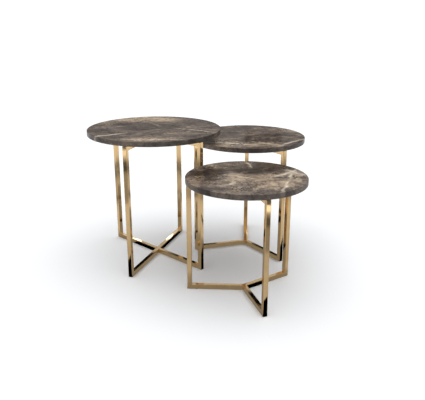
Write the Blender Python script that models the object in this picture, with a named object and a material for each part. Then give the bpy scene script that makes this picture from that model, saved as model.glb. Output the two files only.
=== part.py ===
"""A set of three round nesting tables.

Each table is a polished marble slab on a frame of square brass tube. Its floor rails lie in a cross or
a Y, turn up into the legs at mitred corners, and the same cross or Y returns under the slab. The slab
lies on a cushion strip along the top rails, and a pin bonded into it drops into a hole in each arm. The
smaller tables are lower by a step each, so that their slabs slide in under the larger slabs.

Each table is built about its own upright axis, on an empty that stands at its centre on the floor and
turns it to its heading. Metres, +Z up; the origin is on the floor under the middle of the set.
"""

import math

import bmesh
import bpy
from mathutils import Matrix, Vector

# Slabs
SLAB_THICKNESS = 0.022
SLAB_EASE = 0.0015
SLAB_SIDES = 96

# Square tube
TUBE = 0.020
TUBE_WALL = 0.0015
TUBE_CORNER = 0.002
CORNER_STEPS = 3
LEG_INSET = 0.003  # from the slab's rim to a leg's outer face

# Cushion strip between the top rails and the slab
STRIP_THICKNESS = 0.001
STRIP_WIDTH = 0.014
STRIP_SETBACK = 0.025  # from a leg's outer face

# Pins that locate the slab, one on each arm
PIN_RADIUS = 0.003
PIN_IN_SLAB = 0.012
PIN_IN_RAIL = 0.008
PIN_EASE = 0.0005
PIN_SETBACK = 0.085
ROUND_SIDES = 16

# Glides under the floor rails, one on each arm
GLIDE_RADIUS = 0.008
GLIDE_THICKNESS = 0.0015
GLIDE_EASE = 0.0003
GLIDE_SETBACK = 0.040

# Free space between two pieces that meet
GAP = 0.0003

# Each table stands at its centre and is turned to its heading. Its arms are angles from the heading.
# On the crossed frame the arms pair up into two straight lines; on a Y frame the first arm stands alone.
CROSS_HALF_ANGLE = 56.9
Y_ANGLE = 109.1
TABLES = (
    {
        "name": "large",
        "centre": (-0.2058, 0.1375),
        "heading": 14.1,
        "diameter": 0.620,
        "height": 0.630,
        "arms": {
            "back_right": CROSS_HALF_ANGLE,
            "front_right": -CROSS_HALF_ANGLE,
            "front_left": CROSS_HALF_ANGLE - 180,
            "back_left": 180 - CROSS_HALF_ANGLE,
        },
    },
    {
        "name": "medium",
        "centre": (0.2409, 0.2443),
        "heading": 196.1,
        "diameter": 0.550,
        "height": 0.570,
        "arms": {"left": 0, "front_right": Y_ANGLE, "back": -Y_ANGLE},
    },
    {
        "name": "small",
        "centre": (0.2039, -0.2692),
        "heading": -73.8,
        "diameter": 0.500,
        "height": 0.510,
        "arms": {"front": 0, "right": Y_ANGLE, "left": -Y_ANGLE},
    },
)


def clear_scene():
    for obj in list(bpy.data.objects):
        bpy.data.objects.remove(obj, do_unlink=True)


def new_collection(name, hidden=False):
    collection = bpy.data.collections.new(name)
    collection.hide_render = hidden
    bpy.context.scene.collection.children.link(collection)
    return collection


def new_material(name, colour, roughness, metallic):
    material = bpy.data.materials.new(name)
    material.use_nodes = True
    shader = material.node_tree.nodes["Principled BSDF"]
    shader.inputs["Base Color"].default_value = (*colour, 1)
    shader.inputs["Roughness"].default_value = roughness
    shader.inputs["Metallic"].default_value = metallic
    return material


def new_part(name, bm, material, parent, turn=0.0):
    """Turns a bmesh into a named part of a table, turned about the table's axis."""
    bmesh.ops.recalc_face_normals(bm, faces=bm.faces)
    mesh = bpy.data.meshes.new(name)
    bm.to_mesh(mesh)
    bm.free()
    mesh.shade_smooth()
    mesh.set_sharp_from_angle(angle=math.radians(40))
    mesh.materials.append(material)
    part = bpy.data.objects.new(name, mesh)
    part.rotation_euler.z = turn
    part.parent = parent
    parts.objects.link(part)
    return part


def cut_away(part, name, bm):
    """Subtracts the shape in bm, which is in the part's own frame."""
    bmesh.ops.recalc_face_normals(bm, faces=bm.faces)
    mesh = bpy.data.meshes.new(name)
    bm.to_mesh(mesh)
    bm.free()
    cutter = bpy.data.objects.new(name, mesh)
    cutter.rotation_euler = part.rotation_euler
    cutter.parent = part.parent
    cutter.hide_render = True
    cutter.display_type = "WIRE"
    cutters.objects.link(cutter)
    cut = part.modifiers.new(name, "BOOLEAN")
    cut.operation = "DIFFERENCE"
    cut.solver = "EXACT"
    cut.object = cutter


def box(low, high):
    bm = bmesh.new()
    low, high = Vector(low), Vector(high)
    place = Matrix.Translation((low + high) / 2) @ Matrix.Diagonal((*(high - low), 1))
    bmesh.ops.create_cube(bm, size=1, matrix=place)
    return bm


def add_disc(bm, radius, bottom, top, place=(0, 0), sides=ROUND_SIDES):
    """Adds an upright cylinder at a place in plan."""
    bmesh.ops.create_cone(
        bm,
        cap_ends=True,
        segments=sides,
        radius1=radius,
        radius2=radius,
        depth=top - bottom,
        matrix=Matrix.Translation((*place, (bottom + top) / 2)),
    )


def ease_ends(bm, width, segments=1):
    """Rounds off the rims of an upright cylinder."""
    rims = [edge for edge in bm.edges if abs(edge.verts[0].co.z - edge.verts[1].co.z) < GAP]
    bmesh.ops.bevel(
        bm,
        geom=rims,
        offset=width,
        offset_type="OFFSET",
        segments=segments,
        profile=0.5,
        affect="EDGES",
        clamp_overlap=True,
        material=-1,
    )


def trim(bm, point, outward):
    """Cuts off what lies past a plane, and closes the cut."""
    everything = bm.verts[:] + bm.edges[:] + bm.faces[:]
    cut = bmesh.ops.bisect_plane(
        bm, geom=everything, plane_co=point, plane_no=outward, clear_outer=True
    )
    edges = [item for item in cut["geom_cut"] if isinstance(item, bmesh.types.BMEdge)]
    bmesh.ops.edgeloop_fill(bm, edges=edges)


def tube_blank(low, high, along):
    """A solid bar of the tube's outer section, with its long edges rounded."""
    bm = box(low, high)
    long_edges = [
        edge
        for edge in bm.edges
        if abs((edge.verts[0].co - edge.verts[1].co)[along]) > TUBE * 1.5
    ]
    bmesh.ops.bevel(
        bm,
        geom=long_edges,
        offset=TUBE_CORNER,
        offset_type="OFFSET",
        segments=CORNER_STEPS,
        profile=0.5,
        affect="EDGES",
        clamp_overlap=True,
        material=-1,
    )
    return bm


def polar(radius, degrees):
    angle = math.radians(degrees)
    return Vector((radius * math.cos(angle), radius * math.sin(angle), 0))


def arm_places(table, radius):
    return {name: polar(radius, angle).xy for name, angle in table["arms"].items()}


def mitre(reach, corner_z, level, end=1):
    """The mitre at an arm's outer corner: a point on it, and the way from the rail to the leg.

    Its plane leans 45 degrees through the corner, on the floor or under the slab. end is -1 at the far
    end of a rail that runs through the hub.
    """
    rise = 1 if level == "floor" else -1
    return Vector((end * reach, 0, corner_z)), Vector((end, 0, rise)).normalized()


def add_leg(table, name, angle, parent):
    """One leg: upright at the arm's end, mitred at both ends, and hollow."""
    reach = table["reach"]
    bottom, top = table["frame_bottom"], table["frame_top"]
    half = TUBE / 2
    bm = tube_blank((reach - TUBE, -half, bottom), (reach, half, top), along=2)
    for level, corner_z in (("floor", bottom), ("top", top)):
        point, outward = mitre(reach, corner_z, level)
        trim(bm, point + outward * GAP / 2, -outward)
    leg = new_part(f"{table['name']}_leg_{name}", bm, brass, parent, math.radians(angle))
    bore = half - TUBE_WALL
    middle = reach - half
    hollow = box((middle - bore, -bore, bottom - TUBE), (middle + bore, bore, top + TUBE))
    cut_away(leg, f"{leg.name}_hollow", hollow)


def add_rail(table, level, name, angle, parent, hub_planes=()):
    """One rail along an arm, from the hub to the leg's mitre.

    With no hub planes it runs through the hub to the leg on the far side.
    """
    reach = table["reach"]
    bottom, top = table[f"{level}_rail"]
    corner_z = bottom if level == "floor" else top
    ends = (1,) if hub_planes else (1, -1)
    start = -2 * TUBE if hub_planes else -reach
    half = TUBE / 2
    bm = tube_blank((start, -half, bottom), (reach, half, top), along=0)
    for end in ends:
        point, outward = mitre(reach, corner_z, level, end)
        trim(bm, point - outward * GAP / 2, outward)
    for point, outward in hub_planes:
        trim(bm, point, outward)
    rail = new_part(f"{table['name']}_{level}_rail_{name}", bm, brass, parent, math.radians(angle))
    bore = half - TUBE_WALL
    middle = bottom + half
    hollow = box((start - TUBE, -bore, middle - bore), (reach + TUBE, bore, middle + bore))
    cut_away(rail, f"{rail.name}_hollow", hollow)
    if level == "top":
        holes = bmesh.new()
        for end in ends:
            add_disc(holes, PIN_RADIUS + GAP, middle, top + half, (end * table["pin_circle"], 0))
        cut_away(rail, f"{rail.name}_pin_holes", holes)


def add_cross_rails(table, level, parent):
    """One rail runs through the hub; the other line is two halves that butt against its sides."""
    angles = table["arms"]
    add_rail(table, level, "through", angles["back_right"], parent)
    for name in ("front_right", "back_left"):
        # Seen from the half rail, the through rail's side is a plane through the hub, moved out by
        # half a tube.
        across = polar(1, angles["back_right"] + 90 - angles[name])
        if across.x > 0:
            across = -across
        hub_plane = (-across * (TUBE / 2 + GAP), across)
        add_rail(table, level, name, angles[name], parent, hub_planes=[hub_plane])


def add_y_rails(table, level, parent):
    """Three rails meet at the hub, each cut to a point along the lines halfway to its neighbours."""
    angles = list(table["arms"].values())
    for name, angle in table["arms"].items():
        hub_planes = []
        for other in angles:
            if other == angle:
                continue
            turn = (other - angle + 180) % 360 - 180
            side = math.copysign(1, turn)
            outward = polar(1, turn / 2 + side * 90)
            hub_planes.append((-outward * GAP / 2, outward))
        add_rail(table, level, name, angle, parent, hub_planes=hub_planes)


def add_slab(table, parent):
    """The marble slab, with an eased rim and a blind hole for each pin."""
    bottom = table["height"] - SLAB_THICKNESS
    bm = bmesh.new()
    add_disc(bm, table["diameter"] / 2, bottom, table["height"], sides=SLAB_SIDES)
    ease_ends(bm, SLAB_EASE, segments=2)
    slab = new_part(f"{table['name']}_marble_top", bm, marble, parent)
    holes = bmesh.new()
    for place in arm_places(table, table["pin_circle"]).values():
        add_disc(holes, PIN_RADIUS + GAP, bottom - TUBE, bottom + PIN_IN_SLAB + GAP, place)
    cut_away(slab, f"{slab.name}_pin_holes", holes)


def add_pins(table, parent):
    """Steel pins: bonded into the slab, and free to lift out of the top rails."""
    bottom = table["frame_top"] - PIN_IN_RAIL
    top = table["height"] - SLAB_THICKNESS + PIN_IN_SLAB
    for name, place in arm_places(table, table["pin_circle"]).items():
        bm = bmesh.new()
        add_disc(bm, PIN_RADIUS, bottom, top, place)
        ease_ends(bm, PIN_EASE)
        new_part(f"{table['name']}_slab_pin_{name}", bm, steel, parent)


def add_glides(table, parent):
    """A round glide under each floor rail, near its leg."""
    for name, place in arm_places(table, table["reach"] - GLIDE_SETBACK).items():
        bm = bmesh.new()
        add_disc(bm, GLIDE_RADIUS, 0, GLIDE_THICKNESS, place)
        ease_ends(bm, GLIDE_EASE)
        new_part(f"{table['name']}_floor_glide_{name}", bm, nylon, parent)


def add_strip(table, parent):
    """The cushion strip: one flat piece with an arm along each top rail, holed for the pins."""
    bottom = table["frame_top"] + GAP
    length = table["reach"] - STRIP_SETBACK
    half = STRIP_WIDTH / 2
    angles = sorted(angle % 360 for angle in table["arms"].values())
    outline = []
    for angle, following in zip(angles, angles[1:] + [angles[0] + 360]):
        side = polar(half, angle + 90)
        outline += [polar(length, angle) - side, polar(length, angle) + side]
        half_turn = (following - angle) / 2
        outline.append(polar(half / math.sin(math.radians(half_turn)), angle + half_turn))
    bm = bmesh.new()
    face = bm.faces.new([bm.verts.new((point.x, point.y, bottom)) for point in outline])
    raised = bmesh.ops.extrude_face_region(bm, geom=[face], use_keep_orig=True)["geom"]
    verts = [item for item in raised if isinstance(item, bmesh.types.BMVert)]
    bmesh.ops.translate(bm, verts=verts, vec=(0, 0, STRIP_THICKNESS))
    strip = new_part(f"{table['name']}_cushion_strip", bm, silicone, parent)
    holes = bmesh.new()
    for place in arm_places(table, table["pin_circle"]).values():
        add_disc(holes, PIN_RADIUS + GAP, bottom - TUBE, bottom + TUBE, place)
    cut_away(strip, f"{strip.name}_pin_holes", holes)


def add_table(table):
    """Works out the table's levels, and adds its parts on an empty at its centre."""
    bottom = GLIDE_THICKNESS + GAP
    top = table["height"] - SLAB_THICKNESS - STRIP_THICKNESS - 2 * GAP
    table["frame_bottom"], table["frame_top"] = bottom, top
    table["floor_rail"] = (bottom, bottom + TUBE)
    table["top_rail"] = (top - TUBE, top)
    table["reach"] = table["diameter"] / 2 - LEG_INSET
    table["pin_circle"] = table["reach"] - PIN_SETBACK

    centre = bpy.data.objects.new(f"{table['name']}_table_centre", None)
    centre.location = (*table["centre"], 0)
    centre.rotation_euler.z = math.radians(table["heading"])
    parts.objects.link(centre)

    add_slab(table, centre)
    for name, angle in table["arms"].items():
        add_leg(table, name, angle, centre)
    for level in ("floor", "top"):
        if len(table["arms"]) == 4:
            add_cross_rails(table, level, centre)
        else:
            add_y_rails(table, level, centre)
    add_strip(table, centre)
    add_pins(table, centre)
    add_glides(table, centre)


clear_scene()
parts = new_collection("nesting_tables")
cutters = new_collection("cutters", hidden=True)
marble = new_material("dark_marble", (0.105, 0.072, 0.055), 0.12, 0.0)
brass = new_material("polished_brass", (0.75, 0.55, 0.30), 0.08, 1.0)
steel = new_material("zinc_plated_steel", (0.55, 0.55, 0.56), 0.30, 1.0)
silicone = new_material("clear_silicone", (0.70, 0.70, 0.68), 0.45, 0.0)
nylon = new_material("black_nylon", (0.02, 0.02, 0.02), 0.60, 0.0)

for table in TABLES:
    add_table(table)
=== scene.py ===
"""Three nesting tables: polished dark marble on frames of mirror-polished brass tube."""

import math

import bmesh
import bpy
from mathutils import Matrix, Vector


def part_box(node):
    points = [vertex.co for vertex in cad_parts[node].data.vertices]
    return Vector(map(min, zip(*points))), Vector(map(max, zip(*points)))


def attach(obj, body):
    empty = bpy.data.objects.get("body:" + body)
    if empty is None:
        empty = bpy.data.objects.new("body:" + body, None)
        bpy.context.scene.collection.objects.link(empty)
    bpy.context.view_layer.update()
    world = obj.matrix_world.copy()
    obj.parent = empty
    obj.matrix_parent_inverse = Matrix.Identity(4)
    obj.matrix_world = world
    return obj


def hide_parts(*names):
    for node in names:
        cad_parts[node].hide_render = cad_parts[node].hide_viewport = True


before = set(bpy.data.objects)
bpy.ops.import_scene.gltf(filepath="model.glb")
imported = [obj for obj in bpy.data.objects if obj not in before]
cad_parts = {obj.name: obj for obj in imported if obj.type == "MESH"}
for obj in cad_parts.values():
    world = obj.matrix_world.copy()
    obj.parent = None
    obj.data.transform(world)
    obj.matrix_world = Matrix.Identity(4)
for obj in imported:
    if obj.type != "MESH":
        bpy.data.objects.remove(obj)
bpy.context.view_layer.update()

TABLES = ("large", "medium", "small")

# Shape of the finished pieces, in metres
SLAB_SIDES = 192
SLAB_EASE = 0.0015
EASE_SEGMENTS = 4
TUBE_CORNER = 0.002
CORNER_SEGMENTS = 5
SEAM = 0.00012  # hairline left at each mitre after the weld is polished back
LEVEL_EDGE = 0.0001  # an edge that rises less than this lies level
SHARP_ANGLE = math.radians(40)  # faces that meet more steeply keep a hard edge between them

# The marble's figure. Noise of scale S draws figures about 1000 / S millimetres across.
FOLD_REACH = 0.15
CRUMPLE_REACH = 0.05
VEIN_FOLDS, PATCH_FOLDS = 0.30, 0.80  # shares of the folds that also bend the open veins and the patches
LATE_CRUMPLES = 0.55  # and of the crumples that bend both
CLOUD_STRETCH = (0.45, 1, 1)  # clouds are over twice as long along the flow as across it
LEAST_CRUSHED_LIFT = 0.03  # a patch lifted by more than this is crushed stone
SOUND_MOTTLE, CRUSHED_MOTTLE = 0.30, 0.40  # depth in sound stone, and what crushing adds
SOUND_CREAM, CRUSHED_CREAM = 0.16, 0.62  # share of cream threads in sound stone, and what crushing adds
DARK_THREADS = 0.75
OPEN_VEIN = "#DECDB6"
PAINTED_RIM_SHADE = 0.52  # painted shade: share of the top's colour kept on the less lit rim
POLISHED_ROUGHNESS, HONED_ROUGHNESS = 0.14, 0.30


def linear(code):
    """An sRGB hex value as linear red, green, blue and alpha."""
    parts = [int(code[i : i + 2], 16) / 255 for i in (1, 3, 5)]
    return (*[p / 12.92 if p <= 0.04045 else ((p + 0.055) / 1.055) ** 2.4 for p in parts], 1)


def add(tree, kind, inputs=None, stops=None, **settings):
    """Adds a node. inputs are values, or the sockets that feed it; stops are a ramp's colours."""
    made = tree.nodes.new(kind)
    for name, value in settings.items():
        setattr(made, name, value)
    for name, value in (inputs or {}).items():
        if isinstance(value, bpy.types.NodeSocket):
            tree.links.new(value, made.inputs[name])
        else:
            made.inputs[name].default_value = value
    if stops:
        elements = made.color_ramp.elements
        while len(elements) < len(stops):
            elements.new(1)
        for element, (position, colour) in zip(elements, stops):
            element.position = position
            element.color = linear(colour) if isinstance(colour, str) else (colour, colour, colour, 1)
    return made


def new_material(name):
    material = bpy.data.materials.new(name)
    material.use_nodes = True
    return material, material.node_tree, material.node_tree.nodes["Principled BSDF"]


# ---------------------------------------------------------------- materials


def polished_marble(name, centre, radius, stone_block):
    """Dark brown brecciated marble, diamond polished on top and honed round the rim.

    The eye sees brown-grey clouds that flow one way, paler crushed patches and darker pools with a fine
    broken mottling over them, curling cream and dark threads, and a few open cream veins. The polish gives
    a clear, slightly soft reflection, duller on the calcite of the veins. The rim is honed, and painted
    shade darkens its colour, as the upright rim takes less light.
    """
    flow, block, patches, veins = stone_block
    material, tree, shader = new_material(name)
    place = add(tree, "ShaderNodeTexCoord").outputs["Object"]
    on_slab = add(
        tree, "ShaderNodeMapping", {"Vector": place, "Location": (-centre.x, -centre.y, -centre.z)},
    ).outputs[0]
    in_block = add(
        tree, "ShaderNodeMapping",
        {"Vector": on_slab, "Rotation": (0, 0, -math.radians(flow)), "Location": block},
    ).outputs[0]

    # The stone was folded while soft. Folds about 150 mm apart carried it up to 60 mm, and crumples about
    # 40 mm apart carried it up to 20 mm.
    shoves = []
    for scale, detail, roughness, reach in ((6.5, 4, 0.5, FOLD_REACH), (27, 5, 0.6, CRUMPLE_REACH)):
        shove = add(
            tree, "ShaderNodeTexNoise",
            {"Vector": in_block, "Scale": scale, "Detail": detail, "Roughness": roughness},
        ).outputs["Color"]
        shove = add(
            tree, "ShaderNodeVectorMath", {0: shove, 1: (0.5, 0.5, 0.5)}, operation="SUBTRACT",
        ).outputs[0]
        shoves.append(
            add(tree, "ShaderNodeVectorMath", {0: shove, "Scale": reach}, operation="SCALE").outputs[0]
        )
    folds, crumples = shoves
    folded = add(tree, "ShaderNodeVectorMath", {0: in_block, 1: folds}, operation="ADD").outputs[0]
    folded = add(tree, "ShaderNodeVectorMath", {0: folded, 1: crumples}, operation="ADD").outputs[0]

    # The open veins and the patches came later, so they bend less.
    crumpled = add(
        tree, "ShaderNodeVectorMath", {0: crumples, 1: (LATE_CRUMPLES,) * 3, 2: on_slab},
        operation="MULTIPLY_ADD",
    ).outputs[0]
    in_veins, in_patches = [
        add(
            tree, "ShaderNodeVectorMath", {0: folds, 1: (share,) * 3, 2: crumpled},
            operation="MULTIPLY_ADD",
        ).outputs[0]
        for share in (VEIN_FOLDS, PATCH_FOLDS)
    ]

    # Clouds about 180 mm long and 80 mm wide, lifted in the pale patches and sunk in the dark pools
    streaked = add(
        tree, "ShaderNodeVectorMath", {0: folded, 1: CLOUD_STRETCH}, operation="MULTIPLY",
    ).outputs[0]
    tone = add(
        tree, "ShaderNodeTexNoise",
        {"Vector": streaked, "Scale": 12, "Detail": 9, "Roughness": 0.62, "Distortion": 0.6},
    ).outputs["Fac"]
    crushed = None
    for x, y, reach_x, reach_y, lift in patches:
        patch = add(
            tree, "ShaderNodeVectorMath", {0: in_patches, 1: (x, y, 0)}, operation="SUBTRACT",
        ).outputs[0]
        patch = add(
            tree, "ShaderNodeVectorMath", {0: patch, 1: (1 / reach_x, 1 / reach_y, 0)},
            operation="MULTIPLY",
        ).outputs[0]
        patch = add(tree, "ShaderNodeVectorMath", {0: patch}, operation="LENGTH").outputs["Value"]
        patch = add(
            tree, "ShaderNodeMapRange",
            {"Value": patch, "From Min": 1.3, "From Max": 0.5, "To Min": 0.0, "To Max": 1.0},
            interpolation_type="SMOOTHSTEP",
        ).outputs[0]
        tone = add(
            tree, "ShaderNodeMath", {0: patch, 1: lift, 2: tone}, operation="MULTIPLY_ADD",
        ).outputs[0]
        if lift > LEAST_CRUSHED_LIFT:
            crushed = patch if crushed is None else add(
                tree, "ShaderNodeMath", {0: patch, 1: crushed}, operation="MAXIMUM",
            ).outputs[0]
    stone = add(
        tree, "ShaderNodeValToRGB", {"Fac": tone},
        stops=[
            (0.28, "#28211D"), (0.39, "#443A34"), (0.48, "#5F534C"),
            (0.56, "#776960"), (0.65, "#968372"), (0.77, "#BBA58C"),
        ],
    ).outputs[0]

    # Broken mottling of 5 to 30 mm, strongest where the stone was crushed
    mottle = add(
        tree, "ShaderNodeTexNoise",
        {"Vector": folded, "Scale": 34, "Detail": 8, "Roughness": 0.74, "Distortion": 1.1},
    ).outputs["Fac"]
    mottle = add(
        tree, "ShaderNodeMapRange",
        {"Value": mottle, "From Min": 0.36, "From Max": 0.64, "To Min": -1.0, "To Max": 1.0},
    ).outputs[0]
    depth = add(
        tree, "ShaderNodeMath", {0: crushed, 1: CRUSHED_MOTTLE, 2: SOUND_MOTTLE}, operation="MULTIPLY_ADD",
    ).outputs[0]
    mottle = add(tree, "ShaderNodeMath", {0: mottle, 1: depth, 2: 1.0}, operation="MULTIPLY_ADD").outputs[0]
    stone = add(tree, "ShaderNodeVectorMath", {0: stone, "Scale": mottle}, operation="SCALE").outputs[0]

    # Curling threads, 1 to 2 mm wide: dark ones everywhere, and cream ones mostly in the crushed stone
    broken = add(
        tree, "ShaderNodeTexNoise", {"Vector": in_block, "Scale": 17, "Detail": 4, "Roughness": 0.6},
    ).outputs["Fac"]
    gaps = add(
        tree, "ShaderNodeMapRange",
        {"Value": broken, "From Min": 0.40, "From Max": 0.58, "To Min": 0.0, "To Max": 1.0},
    ).outputs[0]
    cream_threads = add(
        tree, "ShaderNodeMath", {0: crushed, 1: CRUSHED_CREAM, 2: SOUND_CREAM},
        operation="MULTIPLY_ADD",
    ).outputs[0]
    for scale, half_width, colour, share in (
        (20, 0.032, "#271F1B", DARK_THREADS),
        (13, 0.022, "#CDB79B", cream_threads),
        (29, 0.032, "#C7B092", cream_threads),
    ):
        thread = add(
            tree, "ShaderNodeTexNoise",
            {"Vector": folded, "Scale": scale, "Detail": 6, "Roughness": 0.58, "Distortion": 0.8},
        ).outputs["Fac"]
        thread = add(tree, "ShaderNodeMath", {0: thread, 1: 0.5}, operation="SUBTRACT").outputs[0]
        thread = add(tree, "ShaderNodeMath", {0: thread}, operation="ABSOLUTE").outputs[0]
        thread = add(
            tree, "ShaderNodeMapRange",
            {
                "Value": thread, "From Min": half_width, "From Max": half_width / 4,
                "To Min": 0.0, "To Max": 1.0,
            },
        ).outputs[0]
        thread = add(tree, "ShaderNodeMath", {0: thread, 1: gaps}, operation="MULTIPLY").outputs[0]
        thread = add(tree, "ShaderNodeMath", {0: thread, 1: share}, operation="MULTIPLY").outputs[0]
        stone = add(
            tree, "ShaderNodeMix", {0: thread, 6: stone, 7: linear(colour)}, data_type="RGBA",
        ).outputs[2]

    # The open veins: a soft halo with a bright thread in it, broken along its length and thin at its ends
    gaps = add(
        tree, "ShaderNodeMapRange",
        {"Value": mottle, "From Min": 0.70, "From Max": 1.10, "To Min": 0.12, "To Max": 1.0},
    ).outputs[0]
    cream_veins = None
    for start, end, width, strength in veins:
        start, end = Vector((*start, 0)), Vector((*end, 0))
        along = end - start
        reach = add(
            tree, "ShaderNodeVectorMath", {0: in_veins, 1: start}, operation="SUBTRACT",
        ).outputs[0]
        reach = add(tree, "ShaderNodeVectorMath", {0: reach, 1: (1, 1, 0)}, operation="MULTIPLY").outputs[0]
        down = add(
            tree, "ShaderNodeVectorMath", {0: reach, 1: along / along.length_squared},
            operation="DOT_PRODUCT",
        ).outputs["Value"]
        down = add(tree, "ShaderNodeClamp", {"Value": down}).outputs[0]
        nearest = add(tree, "ShaderNodeVectorMath", {0: along, "Scale": down}, operation="SCALE").outputs[0]
        away = add(
            tree, "ShaderNodeVectorMath", {0: reach, 1: nearest}, operation="DISTANCE",
        ).outputs["Value"]
        vein = add(
            tree, "ShaderNodeMapRange",
            {"Value": away, "From Min": width, "From Max": width / 5, "To Min": 0.0, "To Max": strength},
            interpolation_type="SMOOTHSTEP",
        ).outputs[0]
        vein = add(tree, "ShaderNodeMath", {0: vein, 1: gaps}, operation="MULTIPLY").outputs[0]
        taper = add(tree, "ShaderNodeMath", {0: down, 1: math.pi}, operation="MULTIPLY").outputs[0]
        taper = add(tree, "ShaderNodeMath", {0: taper}, operation="SINE").outputs[0]
        vein = add(tree, "ShaderNodeMath", {0: vein, 1: taper}, operation="MULTIPLY").outputs[0]
        stone = add(
            tree, "ShaderNodeMix", {0: vein, 6: stone, 7: linear(OPEN_VEIN)}, data_type="RGBA",
        ).outputs[2]
        cream_veins = vein if cream_veins is None else add(
            tree, "ShaderNodeMath", {0: vein, 1: cream_veins}, operation="MAXIMUM",
        ).outputs[0]

    # The honed rim: rougher, and darker by painted shade, since the upright rim takes less light
    rim = add(tree, "ShaderNodeVectorMath", {0: on_slab, 1: (1, 1, 0)}, operation="MULTIPLY").outputs[0]
    rim = add(tree, "ShaderNodeVectorMath", {0: rim}, operation="LENGTH").outputs["Value"]
    rim = add(
        tree, "ShaderNodeMapRange",
        {
            "Value": rim, "From Min": radius - SLAB_EASE, "From Max": radius - SLAB_EASE / 3,
            "To Min": 0.0, "To Max": 1.0,
        },
    ).outputs[0]
    # painted shade: the rim's colour is darkened, as the upright rim takes less light
    painted_rim_darkening = add(
        tree, "ShaderNodeMapRange", {"Value": rim, "To Min": 1.0, "To Max": PAINTED_RIM_SHADE},
    ).outputs[0]
    stone = add(tree, "ShaderNodeVectorMath", {0: stone, "Scale": painted_rim_darkening}, operation="SCALE").outputs[0]
    duller = add(tree, "ShaderNodeMath", {0: rim, 1: cream_veins}, operation="MAXIMUM").outputs[0]
    polish = add(
        tree, "ShaderNodeMapRange",
        {"Value": duller, "To Min": POLISHED_ROUGHNESS, "To Max": HONED_ROUGHNESS},
    ).outputs[0]
    tree.links.new(stone, shader.inputs["Base Color"])
    tree.links.new(polish, shader.inputs["Roughness"])
    shader.inputs["IOR"].default_value = 1.49
    return material


def polished_brass():
    """Drawn brass tube, mitred, welded and mirror polished under clear lacquer.

    The eye sees a near mirror: pale gold where it meets light, brown to black where it meets dark. The
    mop leaves a faint haze in clouds of about 40 mm, and the walls of drawn tube are never quite flat, so
    reflected edges wander a little every 140 mm or so.
    """
    material, tree, shader = new_material("polished_brass")
    place = add(tree, "ShaderNodeTexCoord").outputs["Object"]
    haze = add(
        tree, "ShaderNodeTexNoise", {"Vector": place, "Scale": 26, "Detail": 5, "Roughness": 0.6},
    ).outputs["Fac"]
    tint = add(
        tree, "ShaderNodeValToRGB", {"Fac": haze}, stops=[(0.35, "#E9C692"), (0.65, "#F0CF9C")],
    ).outputs[0]
    mop = add(
        tree, "ShaderNodeMapRange",
        {"Value": haze, "From Min": 0.3, "From Max": 0.7, "To Min": 0.04, "To Max": 0.09},
    ).outputs[0]
    wall = add(tree, "ShaderNodeTexNoise", {"Vector": place, "Scale": 7, "Detail": 1}).outputs["Fac"]
    wavy = add(tree, "ShaderNodeBump", {"Height": wall, "Strength": 0.08, "Distance": 0.004}).outputs[0]
    tree.links.new(tint, shader.inputs["Base Color"])
    tree.links.new(mop, shader.inputs["Roughness"])
    tree.links.new(wavy, shader.inputs["Normal"])
    shader.inputs["Metallic"].default_value = 1
    return material


def zinc_plated_steel():
    """Turned steel pins with bright zinc: a satin grey. The turning rings are drawn 2.5 mm apart, coarser
    than the real ones, which are too fine to show.
    """
    material, tree, shader = new_material("zinc_plated_steel")
    place = add(tree, "ShaderNodeTexCoord").outputs["Object"]
    rings = add(
        tree, "ShaderNodeTexWave", {"Vector": place, "Scale": 400, "Distortion": 0.4}, bands_direction="Z",
    )
    sheen = add(
        tree, "ShaderNodeMapRange", {"Value": rings.outputs["Fac"], "To Min": 0.26, "To Max": 0.38},
    ).outputs[0]
    shader.inputs["Base Color"].default_value = linear("#B9BABD")
    shader.inputs["Metallic"].default_value = 1
    tree.links.new(sheen, shader.inputs["Roughness"])
    return material


def silicone_strip():
    """Clear silicone tape: milky, with a soft sheen and a face faintly pebbled every millimetre or so."""
    material, tree, shader = new_material("silicone_strip")
    place = add(tree, "ShaderNodeTexCoord").outputs["Object"]
    pebble = add(tree, "ShaderNodeTexNoise", {"Vector": place, "Scale": 900, "Detail": 2}).outputs["Fac"]
    tone = add(
        tree, "ShaderNodeValToRGB", {"Fac": pebble}, stops=[(0.3, "#B8B6AE"), (0.7, "#C9C7C0")],
    ).outputs[0]
    skin = add(tree, "ShaderNodeBump", {"Height": pebble, "Strength": 0.2, "Distance": 0.0002}).outputs[0]
    tree.links.new(tone, shader.inputs["Base Color"])
    tree.links.new(skin, shader.inputs["Normal"])
    shader.inputs["Roughness"].default_value = 0.42
    return material


def moulded_nylon():
    """Black moulded nylon glides: matt, with paler scuffs of about 3 mm where they rub."""
    material, tree, shader = new_material("moulded_nylon")
    place = add(tree, "ShaderNodeTexCoord").outputs["Object"]
    scuff = add(
        tree, "ShaderNodeTexNoise", {"Vector": place, "Scale": 350, "Detail": 4, "Roughness": 0.7},
    ).outputs["Fac"]
    tone = add(
        tree, "ShaderNodeValToRGB", {"Fac": scuff}, stops=[(0.45, "#17171A"), (0.75, "#303033")],
    ).outputs[0]
    wear = add(tree, "ShaderNodeMapRange", {"Value": scuff, "To Min": 0.45, "To Max": 0.7}).outputs[0]
    tree.links.new(tone, shader.inputs["Base Color"])
    tree.links.new(wear, shader.inputs["Roughness"])
    return material


# ---------------------------------------------------------------- pieces


def finish_piece(name, bm, material, body, node):
    """A bmesh becomes a smooth-shaded piece that stands for a CAD node."""
    bmesh.ops.recalc_face_normals(bm, faces=bm.faces)
    mesh = bpy.data.meshes.new(name)
    bm.to_mesh(mesh)
    bm.free()
    mesh.shade_smooth()
    mesh.set_sharp_from_angle(angle=SHARP_ANGLE)
    mesh.materials.append(material)
    piece = bpy.data.objects.new(name, mesh)
    bpy.context.scene.collection.objects.link(piece)
    # Big flat faces keep flat reflections right up to their rounded edges.
    flat = piece.modifiers.new("flat_faces", "WEIGHTED_NORMAL")
    flat.keep_sharp = True
    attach(piece, body)
    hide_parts(node)


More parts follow.
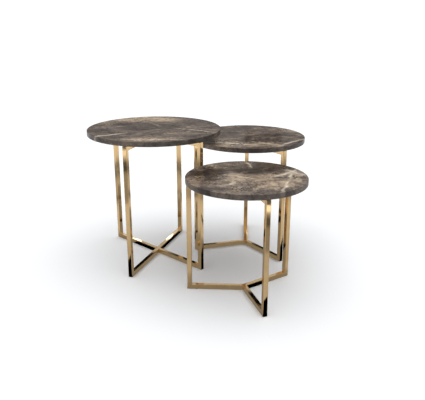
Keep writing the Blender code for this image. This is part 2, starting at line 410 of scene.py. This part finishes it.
def round_edges(bm, edges, width, segments):
    bmesh.ops.bevel(
        bm, geom=edges, offset=width, offset_type="OFFSET", segments=segments, profile=0.5,
        affect="EDGES", clamp_overlap=True, material=-1,
    )


def trim(bm, point, outward):
    """Saws off what lies past a plane, and closes the cut."""
    everything = bm.verts[:] + bm.edges[:] + bm.faces[:]
    cut = bmesh.ops.bisect_plane(
        bm, geom=everything, plane_co=point, plane_no=outward, clear_outer=True,
    )
    edges = [item for item in cut["geom_cut"] if isinstance(item, bmesh.types.BMEdge)]
    bmesh.ops.edgeloop_fill(bm, edges=edges)


def tube_bar(low, high, along):
    """A bar of the tube's section with rounded long edges."""
    bm = bmesh.new()
    low, high = Vector(low), Vector(high)
    size = high - low
    place = Matrix.Translation((low + high) / 2) @ Matrix.Diagonal((*size, 1))
    bmesh.ops.create_cube(bm, size=1, matrix=place)
    long_edges = [
        edge for edge in bm.edges
        if abs((edge.verts[0].co - edge.verts[1].co)[along]) > size[along] / 2
    ]
    round_edges(bm, long_edges, TUBE_CORNER, CORNER_SEGMENTS)
    return bm


def flat_angle(vector):
    return math.atan2(vector.y, vector.x)


def angle_vector(angle):
    return Vector((math.cos(angle), math.sin(angle), 0))


def make_slab(table, material):
    """The round slab: turned, with its rims eased by hand."""
    node = f"{table}_marble_top"
    low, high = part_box(node)
    radius = (high.x - low.x) / 2
    bm = bmesh.new()
    bmesh.ops.create_cone(
        bm, cap_ends=True, segments=SLAB_SIDES, radius1=radius, radius2=radius,
        depth=high.z - low.z, matrix=Matrix.Translation((low + high) / 2),
    )
    rims = [edge for edge in bm.edges if abs(edge.verts[0].co.z - edge.verts[1].co.z) < LEVEL_EDGE]
    round_edges(bm, rims, SLAB_EASE, EASE_SEGMENTS)
    finish_piece(f"{table}_marble_slab", bm, material, f"{table}_table", node)


def make_frame(table, brass):
    """Legs and rails of one table, each sawn to its mitres like the tube it is."""
    low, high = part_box(f"{table}_marble_top")
    centre = Vector(((low.x + high.x) / 2, (low.y + high.y) / 2, 0))
    arms = {}
    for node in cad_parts:
        if node.startswith(f"{table}_leg_"):
            leg_low, leg_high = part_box(node)
            arms[node.removeprefix(f"{table}_leg_")] = (leg_low + leg_high) / 2 - centre
    rail_low, rail_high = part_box(next(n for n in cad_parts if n.startswith(f"{table}_floor_rail_")))
    tube = rail_high.z - rail_low.z
    half = tube / 2
    bottom = rail_low.z
    top = leg_high.z
    for name, reach_to in arms.items():
        reach = reach_to.xy.length + half
        place = Matrix.Translation(centre) @ Matrix.Rotation(flat_angle(reach_to), 4, "Z")
        bm = tube_bar((reach - tube, -half, bottom), (reach, half, top), along=2)
        for corner_z, rise in ((bottom, 1), (top, -1)):
            outward = Vector((1, 0, rise)).normalized()
            trim(bm, Vector((reach, 0, corner_z)) + outward * SEAM, -outward)
        bm.transform(place)
        finish_piece(
            f"{table}_brass_leg_{name}", bm, brass, f"{table}_table", f"{table}_leg_{name}",
        )

    for level, level_low, level_high, rise in (
        ("floor", bottom, bottom + tube, 1),
        ("top", top - tube, top, -1),
    ):
        corner_z = level_low if level == "floor" else level_high
        for node in sorted(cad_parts):
            if not node.startswith(f"{table}_{level}_rail_"):
                continue
            name = node.removeprefix(f"{table}_{level}_rail_")
            through = name == "through"
            reach_to = arms["back_right"] if through else arms[name]
            angle = flat_angle(reach_to)
            reach = reach_to.xy.length + half
            # A half rail starts past the hub and is then cut to fit.
            start = -reach if through else -2 * tube
            bm = tube_bar((start, -half, level_low), (reach, half, level_high), along=0)
            for end in (1, -1) if through else (1,):
                outward = Vector((end, 0, rise)).normalized()
                trim(bm, Vector((end * reach, 0, corner_z)) - outward * SEAM, outward)
            if not through:
                for point, outward in hub_cuts(table, arms, name, half):
                    trim(bm, point, outward)
            bm.transform(Matrix.Translation(centre) @ Matrix.Rotation(angle, 4, "Z"))
            finish_piece(
                f"{table}_brass_{level}_rail_{name}", bm, brass, f"{table}_table", node,
            )


def hub_cuts(table, arms, name, half):
    """The saw cuts that fit a rail to its neighbours at the hub, in the rail's own frame."""
    angle = flat_angle(arms[name])
    if table == "large":
        across = angle_vector(flat_angle(arms["back_right"]) + math.pi / 2 - angle)
        if across.x > 0:
            across = -across
        return [(-across * (half + SEAM), across)]
    cuts = []
    for other, reach_to in arms.items():
        if other == name:
            continue
        turn = (flat_angle(reach_to) - angle + math.pi) % (2 * math.pi) - math.pi
        outward = angle_vector(turn / 2 + math.copysign(math.pi / 2, turn))
        cuts.append((-outward * SEAM, outward))
    return cuts


# How each slab was cut from the block, in metres from its middle: the angle of flow, where it lay in the
# block, its pale patches and dark pools (place, reach, lift), and its open veins (ends, width, strength)
STONE_BLOCKS = {
    "large": (
        12, (0.4, 1.7, 0.3),
        [
            (-0.14, 0.00, 0.20, 0.20, 0.015), (-0.07, 0.22, 0.16, 0.08, 0.26),
            (-0.25, 0.12, 0.06, 0.08, 0.09), (0.00, -0.26, 0.16, 0.035, 0.12),
            (0.20, 0.18, 0.16, 0.08, -0.03),
        ],
        [
            ((-0.28, -0.22), (-0.10, -0.11), 0.012, 1.0), ((0.03, 0.01), (-0.03, 0.14), 0.012, 0.3),
            ((0.08, 0.00), (0.32, -0.12), 0.010, 0.8), ((-0.12, -0.27), (0.16, -0.26), 0.012, 0.8),
        ],
    ),
    "medium": (
        4, (2.9, 0.2, 1.1),
        [
            (-0.10, -0.19, 0.24, 0.06, 0.14), (0.16, -0.02, 0.14, 0.14, -0.02),
            (0.20, 0.14, 0.10, 0.06, 0.06), (-0.20, -0.08, 0.12, 0.05, 0.08),
        ],
        [
            ((-0.24, -0.13), (0.06, -0.21), 0.014, 1.0), ((0.00, -0.12), (0.14, -0.22), 0.010, 0.9),
            ((0.10, -0.25), (0.29, -0.05), 0.010, 0.8),
        ],
    ),
    "small": (
        14, (5.3, 3.1, 0.7),
        [
            (0.02, -0.09, 0.17, 0.13, 0.10), (0.17, -0.04, 0.09, 0.14, 0.05),
            (0.08, 0.13, 0.17, 0.08, -0.15), (-0.14, 0.01, 0.08, 0.11, -0.19),
            (-0.20, -0.02, 0.035, 0.04, 0.15), (-0.12, 0.16, 0.12, 0.06, 0.05),
        ],
        [
            ((0.08, -0.05), (0.24, 0.13), 0.010, 0.9), ((0.16, 0.12), (0.25, -0.01), 0.022, 0.9),
            ((0.12, -0.24), (0.18, 0.02), 0.010, 1.0), ((0.16, -0.05), (0.20, 0.10), 0.016, 0.8),
            ((0.005, 0.28), (0.030, 0.12), 0.007, 0.8), ((-0.13, -0.14), (0.00, -0.07), 0.016, 0.7),
            ((-0.10, 0.03), (0.06, -0.06), 0.012, 0.6),
        ],
    ),
}
brass = polished_brass()
for table in TABLES:
    low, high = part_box(f"{table}_marble_top")
    marble = polished_marble(
        f"{table}_dark_marble", (low + high) / 2, (high.x - low.x) / 2, STONE_BLOCKS[table],
    )
    make_slab(table, marble)
    make_frame(table, brass)

hidden_finishes = {
    "slab_pin": zinc_plated_steel(),
    "cushion_strip": silicone_strip(),
    "floor_glide": moulded_nylon(),
}
for name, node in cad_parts.items():
    for part, material in hidden_finishes.items():
        if part in name:
            node.data.materials.clear()
            node.data.materials.append(material)


# ---------------------------------------------------------------- studio

# Where the camera stands, in metres, how far it looks down, in degrees, and its lens, in millimetres
CAMERA_PLACE = (0.0576, -2.4741, 1.138)
CAMERA_DIP = 18.58
LENS = 47.755
SENSOR_WIDTH = 36
LENS_SHIFT = (0.0047, 0.0064)

# The light bank: the way it lies, its strength beside that of the room, and where it fades, in degrees
# from its middle
BANK_FACES = (0.02, -0.06, 1.0)
BANK_LIGHT = 2.15
ROOM_LIGHT = 0.13
BANK_FULL = 22
BANK_GONE = 68
BACKDROP_LIGHT = 1.2
FLOOR_REACH = 60

# What the brass mirrors: grey tones up and down from the horizon, in degrees, on slightly wavy walls
WALL_LIGHT = 1.18
WALL_WAVE = 0.036
LOW_WALLS = [
    (0, 0.55), (12.6, 0.75), (13.8, 0.70), (14.5, 0.18), (15.3, 0.15), (15.8, 0.42), (17.0, 0.48),
    (17.4, 0.14), (17.8, 0.14), (18.2, 0.55), (19.4, 0.58), (22.0, 0.48), (23.4, 0.40), (27.0, 0.46),
    (40.0, 0.35), (90, 0.2),
]
HIGH_WALLS = [
    (0, 0.10), (19.0, 0.12), (20.3, 0.50), (21.4, 0.48), (21.7, 1.0), (22.1, 1.0), (22.3, 0.12),
    (22.5, 0.12), (22.8, 0.48), (30, 0.46), (34, 0.15), (46, 0.15), (56, 0.8), (90, 1.0),
]

# Black flags on the floor, which turn the feet and the rail tops black: start, heading in degrees, length
# along each long side and half the width
FLAG_LIE = 0.001
FLOOR_FLAGS = [
    ("flag_large_front_left", (-0.300, -0.140), 223, 0.09, 0.33, 0.030),
    ("flag_large_front_right", (0.012, -0.064), 3, 0.18, 0.43, 0.015),
    ("flag_medium_front_right", (0.392, 0.030), 348, 0.15, 0.46, 0.020),
    ("flag_small_front", (0.270, -0.497), 308.5, 0.10, 0.24, 0.030),
    ("flag_beside_large_back_right", (-0.190, 0.125), 71, 0.30, 0.30, 0.045),
    ("flag_beside_large_back_left", (-0.235, 0.125), 137, 0.17, 0.17, 0.045),
    ("flag_beside_small_right", (0.232, -0.300), 35.3, 0.11, 0.11, 0.045),
]

# Bright strips that put the sparkle on the back rails, and black flags, hung on one line behind the
# tables: left, right, low and high edges
HANGING_LINE = 1.0
LAMP_LIGHT = 3.5
LAMP_STRIPS = [
    ("strip_behind_back_right", -0.240, -0.190, 0.294, 0.333),
    ("strip_behind_back_left", -0.465, -0.400, 0.317, 0.350),
    ("strip_behind_medium_back", 0.265, 0.315, 0.255, 0.291),
]
HANGING_FLAGS = [
    ("flag_behind_large", -0.52, 0.02, 0.425, 0.63),
    ("flag_behind_medium_left", -0.10, 0.10, 0.345, 0.44),
    ("flag_behind_medium", 0.33, 0.54, 0.356, 0.47),
    ("flag_behind_small", 0.27, 0.50, 0.705, 0.92),
]

# Painted shade: glowing grey sheets under the tables, seen only in the brass, stand in for the shaded
# floor there and thin out past the edge of each top: their reach beside the top's, the share of their
# width from the middle that stays whole, and the step between the overlapping sheets
FLOOR_SHADE_TONE = "#8C8C8C"
FLOOR_SHADE_REACH = 1.35
FLOOR_SHADE_WHOLE = 0.34
FLOOR_SHADE_LIE = 0.0002

# Upright striped cards, which band the outer faces of the front legs: foot, heading, distance, bottom and
# top edge, and the tones by height
CARD_LIGHT = 1.5
CARD_HALF_WIDTH = 0.07
STRIPED_CARDS = [
    (
        "card_large_front_left", (-0.300, -0.140), 223, 1.0, 0.02, 0.40,
        [
            (0.02, 0.30), (0.055, 0.20), (0.12, 0.20), (0.20, 0.22), (0.215, 0.20), (0.235, 0.06),
            (0.285, 0.06), (0.31, 0.35), (0.335, 0.75), (0.36, 0.75), (0.37, 0.08), (0.40, 0.08),
        ],
    ),
    (
        "card_small_front", (0.270, -0.497), 308.5, 0.6, 0.015, 0.33,
        [
            (0.015, 0.26), (0.04, 0.17), (0.13, 0.20), (0.15, 0.16), (0.165, 0.07), (0.198, 0.06),
            (0.215, 0.20), (0.228, 0.40), (0.24, 1.0), (0.262, 1.0), (0.27, 0.08), (0.33, 0.08),
        ],
    ),
]


def make_floor():
    """Pale studio floor, seamless out to the horizon. Polished metal is shielded from it."""
    bm = bmesh.new()
    bmesh.ops.create_grid(bm, x_segments=1, y_segments=1, size=FLOOR_REACH)
    mesh = bpy.data.meshes.new("studio_floor")
    bm.to_mesh(mesh)
    bm.free()
    material, _, shader = new_material("matt_white_floor")
    shader.inputs["Base Color"].default_value = linear("#F2F2F3")
    shader.inputs["Roughness"].default_value = 0.9
    shader.inputs["Specular IOR Level"].default_value = 0
    mesh.materials.append(material)
    floor = bpy.data.objects.new("studio_floor", mesh)
    bpy.context.scene.collection.objects.link(floor)
    floor.visible_glossy = False


def black_card():
    """Matt black card, which shows as black in the brass."""
    material, _, shader = new_material("black_card")
    shader.inputs["Base Color"].default_value = (0, 0, 0, 1)
    shader.inputs["Specular IOR Level"].default_value = 0
    return material


def lit_card(name, tones, light):
    """Card printed with level stripes and lit, from its bottom edge at 0 to its top edge at 1."""
    material, tree, _ = new_material(name)
    spot = add(tree, "ShaderNodeTexCoord").outputs["Generated"]
    level = add(tree, "ShaderNodeSeparateXYZ", {0: spot}).outputs["Z"]
    stripes = add(tree, "ShaderNodeValToRGB", {"Fac": level}, stops=tones).outputs[0]
    glow = add(tree, "ShaderNodeEmission", {"Color": stripes, "Strength": light}).outputs[0]
    tree.links.new(glow, tree.nodes["Material Output"].inputs["Surface"])
    return material


def painted_floor_shade():
    """Painted shade: a glowing grey sheet that stands in for the shaded floor under a table, as the brass
    mirrors it, and thins to nothing towards its round edge.
    """
    material, tree, _ = new_material("painted_floor_shade_card")
    spot = add(tree, "ShaderNodeTexCoord").outputs["Generated"]
    spot = add(tree, "ShaderNodeVectorMath", {0: spot, 1: (1, 1, 0)}, operation="MULTIPLY").outputs[0]
    away = add(
        tree, "ShaderNodeVectorMath", {0: spot, 1: (0.5, 0.5, 0)}, operation="DISTANCE",
    ).outputs["Value"]
    cover = add(
        tree, "ShaderNodeMapRange",
        {"Value": away, "From Min": 0.5, "From Max": FLOOR_SHADE_WHOLE, "To Min": 0.0, "To Max": 1.0},
        interpolation_type="SMOOTHSTEP",
    ).outputs[0]
    # The glow is painted shade: the grey of the shaded floor, as the brass would mirror it
    shade_glow = add(tree, "ShaderNodeEmission", {"Color": linear(FLOOR_SHADE_TONE)}).outputs[0]
    clear = add(tree, "ShaderNodeBsdfTransparent").outputs[0]
    mix = add(tree, "ShaderNodeMixShader", {0: cover, 1: clear, 2: shade_glow}).outputs[0]
    tree.links.new(mix, tree.nodes["Material Output"].inputs["Surface"])
    return material


def card(name, corners, material):
    """A card that only the mirror of the brass sees, as is set beside bright metal in a studio."""
    bm = bmesh.new()
    bm.faces.new([bm.verts.new(corner) for corner in corners])
    mesh = bpy.data.meshes.new(name)
    bm.to_mesh(mesh)
    bm.free()
    mesh.materials.append(material)
    made = bpy.data.objects.new(name, mesh)
    bpy.context.scene.collection.objects.link(made)
    for sees in ("visible_camera", "visible_diffuse", "visible_shadow", "visible_transmission"):
        setattr(made, sees, False)


def upright_card(name, left, right, low, high, material):
    """A card that stands or hangs between two points on the ground plan."""
    up = Vector((0, 0, 1))
    card(name, [left + up * low, right + up * low, right + up * high, left + up * high], material)


def hang(edges, material):
    """A card on the hanging line, by its name and edges."""
    name, left, right, low, high = edges
    upright_card(
        name, Vector((left, HANGING_LINE, 0)), Vector((right, HANGING_LINE, 0)), low, high, material,
    )


def striped_card(name, foot, heading, distance, low, high, tones):
    """An upright striped card across the way a leg's outer face looks."""
    along = angle_vector(math.radians(heading))
    across = Vector((-along.y, along.x, 0)) * CARD_HALF_WIDTH
    middle = Vector((*foot, 0)) + along * distance
    stops = [((level - low) / (high - low), tone) for level, tone in tones]
    upright_card(name, middle - across, middle + across, low, high, lit_card(name, stops, CARD_LIGHT))


def floor_flag(name, start, heading, near_length, far_length, half_width, material):
    """A flag lying on the floor from a foot outwards, with its far end cut on the slant."""
    along = angle_vector(math.radians(heading))
    across = Vector((-along.y, along.x, 0)) * half_width
    start = Vector((*start, FLAG_LIE))
    near, far = start - across, start + across
    card(name, [near, near + along * near_length, far + along * far_length, far], material)


def lay_floor_shade(table, layer, material):
    """The painted floor shade under one table, square and centred under its top."""
    low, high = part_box(f"{table}_marble_top")
    middle = (low + high) / 2
    half = (high.x - low.x) / 2 * FLOOR_SHADE_REACH
    corners = ((-1, -1), (1, -1), (1, 1), (-1, 1))
    card(
        f"painted_shade_under_{table}",
        [(middle.x + x * half, middle.y + y * half, FLOOR_SHADE_LIE * layer) for x, y in corners],
        material,
    )


def make_world():
    """Soft light from a wide bank overhead and a little in front, and banded walls for the brass."""
    world = bpy.data.worlds.new("studio")
    bpy.context.scene.world = world
    world.use_nodes = True
    tree = world.node_tree
    tree.nodes.clear()
    direction = add(tree, "ShaderNodeTexCoord").outputs["Generated"]
    height = add(tree, "ShaderNodeSeparateXYZ", {0: direction}).outputs["Z"]
    bank = add(
        tree, "ShaderNodeVectorMath", {0: direction, 1: Vector(BANK_FACES).normalized()},
        operation="DOT_PRODUCT",
    ).outputs["Value"]
    bank = add(
        tree, "ShaderNodeMapRange",
        {
            "Value": bank,
            "From Min": math.cos(math.radians(BANK_GONE)), "From Max": math.cos(math.radians(BANK_FULL)),
            "To Min": ROOM_LIGHT, "To Max": BANK_LIGHT,
        },
        interpolation_type="SMOOTHSTEP",
    ).outputs[0]

    waves = add(tree, "ShaderNodeTexNoise", {"Vector": direction, "Scale": 3.2, "Detail": 2}).outputs["Fac"]
    level = add(
        tree, "ShaderNodeMath", {0: waves, 1: WALL_WAVE, 2: height}, operation="MULTIPLY_ADD",
    ).outputs[0]
    level = add(tree, "ShaderNodeMath", {0: level, 1: WALL_WAVE / 2}, operation="SUBTRACT").outputs[0]
    below = add(tree, "ShaderNodeMath", {0: level, 1: -1.0}, operation="MULTIPLY").outputs[0]
    low_walls, high_walls = (
        add(
            tree, "ShaderNodeValToRGB", {"Fac": rise},
            stops=[(math.sin(math.radians(angle)), tone) for angle, tone in tones],
        ).outputs[0]
        for rise, tones in ((below, LOW_WALLS), (level, HIGH_WALLS))
    )
    is_low = add(tree, "ShaderNodeMath", {0: height, 1: 0.0}, operation="LESS_THAN").outputs[0]
    walls = add(
        tree, "ShaderNodeMix", {0: is_low, 6: high_walls, 7: low_walls}, data_type="RGBA",
    ).outputs[2]

    path = add(tree, "ShaderNodeLightPath")
    light = add(tree, "ShaderNodeBackground", {"Color": linear("#FCFEFF"), "Strength": bank})
    mirror = add(tree, "ShaderNodeBackground", {"Color": walls, "Strength": WALL_LIGHT})
    white = add(tree, "ShaderNodeBackground", {"Color": (1, 1, 1, 1), "Strength": BACKDROP_LIGHT})
    mix = add(
        tree, "ShaderNodeMixShader",
        {0: path.outputs["Is Glossy Ray"], 1: light.outputs[0], 2: mirror.outputs[0]},
    )
    mix = add(
        tree, "ShaderNodeMixShader",
        {0: path.outputs["Is Camera Ray"], 1: mix.outputs[0], 2: white.outputs[0]},
    )
    add(tree, "ShaderNodeOutputWorld", {"Surface": mix.outputs[0]})


def make_camera():
    """Seen from just over a metre up and two and a half metres in front."""
    data = bpy.data.cameras.new("camera")
    data.lens = LENS
    data.sensor_width = SENSOR_WIDTH
    data.shift_x, data.shift_y = LENS_SHIFT
    camera = bpy.data.objects.new("camera", data)
    camera.location = CAMERA_PLACE
    camera.rotation_euler = (math.radians(90 - CAMERA_DIP), 0, 0)
    bpy.context.scene.collection.objects.link(camera)
    bpy.context.scene.camera = camera


make_floor()
make_world()
flag_black = black_card()
for flag in FLOOR_FLAGS:
    floor_flag(*flag, flag_black)
for flag in HANGING_FLAGS:
    hang(flag, flag_black)
strip_white = lit_card("strip_white", [(0, 1.0), (1, 1.0)], LAMP_LIGHT)
for strip in LAMP_STRIPS:
    hang(strip, strip_white)
for striped in STRIPED_CARDS:
    striped_card(*striped)
# Painted shade under the tables, which only the brass sees
painted_floor_shade_card = painted_floor_shade()
for layer, table in enumerate(TABLES, start=1):
    lay_floor_shade(table, layer, painted_floor_shade_card)
make_camera()
bpy.context.scene.view_settings.view_transform = "Standard"
